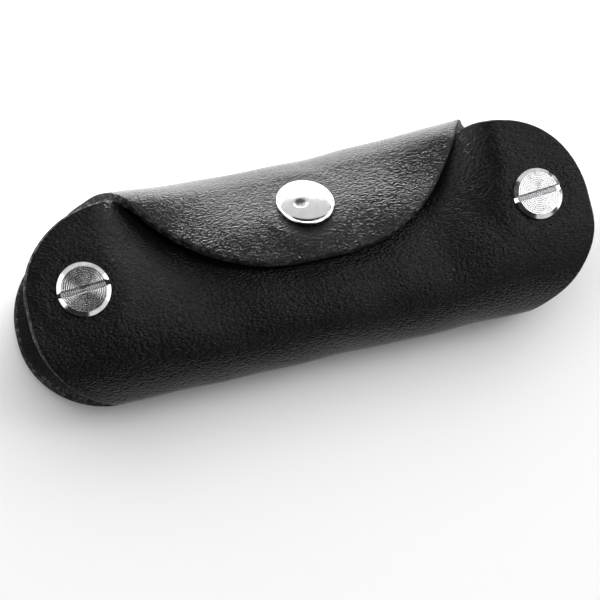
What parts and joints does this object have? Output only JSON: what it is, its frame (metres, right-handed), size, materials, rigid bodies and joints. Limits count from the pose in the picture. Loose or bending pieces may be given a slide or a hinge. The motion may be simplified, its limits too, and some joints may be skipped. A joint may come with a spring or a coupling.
{
  "type": "key holder",
  "caption": "Flat leather key case: a folded panel held by slotted screws in posts that carry keys, with a rounded flap closed by a snap.",
  "frame": {"origin": "bottom centre of the case as it lies on the heads of its two posts", "axes": "+X along the case, +Y towards the fold of the flap, +Z along the screws, out of the front panel"},
  "size_m": [0.1014, 0.0358, 0.0205],
  "materials": {
    "leather": "black pebbled cowhide, satin, with raw dark grey edges and a rough flesh side",
    "steel": "nickel-plated, turned faces with a bright bevel",
    "snap_plating": "polished nickel",
    "spring_wire": "spring wire",
    "rubber": "black matt rubber"
  },
  "bodies": {
    "case": {"back_panel": "leather", "bottom_fold": "leather", "front_panel": "leather", "fold_lower": "leather", "snap_stud": "snap_plating", "snap_stud_post": "snap_plating", "left_post": "steel", "left_back_washer": "rubber", "left_spacer_1": "rubber", "left_spacer_2": "rubber", "left_front_washer": "rubber", "right_post": "steel", "right_back_washer": "rubber", "right_spacer_1": "rubber", "right_spacer_2": "rubber", "right_front_washer": "rubber"},
    "flap": {"fold_upper": "leather", "flap_panel": "leather", "snap_cap": "snap_plating", "snap_socket": "snap_plating", "snap_spring": "spring_wire"},
    "left_screw": {"left_screw": "steel"},
    "right_screw": {"right_screw": "steel"}
  },
  "joints": [
    {"name": "flap_open", "type": "hinge", "parent": "case", "child": "flap", "pos_m": [0, 0.0179, 0.006], "axis": [-1, 0, 0], "range_deg": [0, 140]},
    {"name": "left_screw_turn", "type": "hinge", "parent": "case", "child": "left_screw", "pos_m": [-0.041, 0.0013, 0.0185], "axis": [0, 0, 1], "range_deg": [0, 360]},
    {"name": "right_screw_turn", "type": "hinge", "parent": "case", "child": "right_screw", "pos_m": [0.041, 0.0013, 0.0185], "axis": [0, 0, 1], "range_deg": [0, 360]}
  ]
}
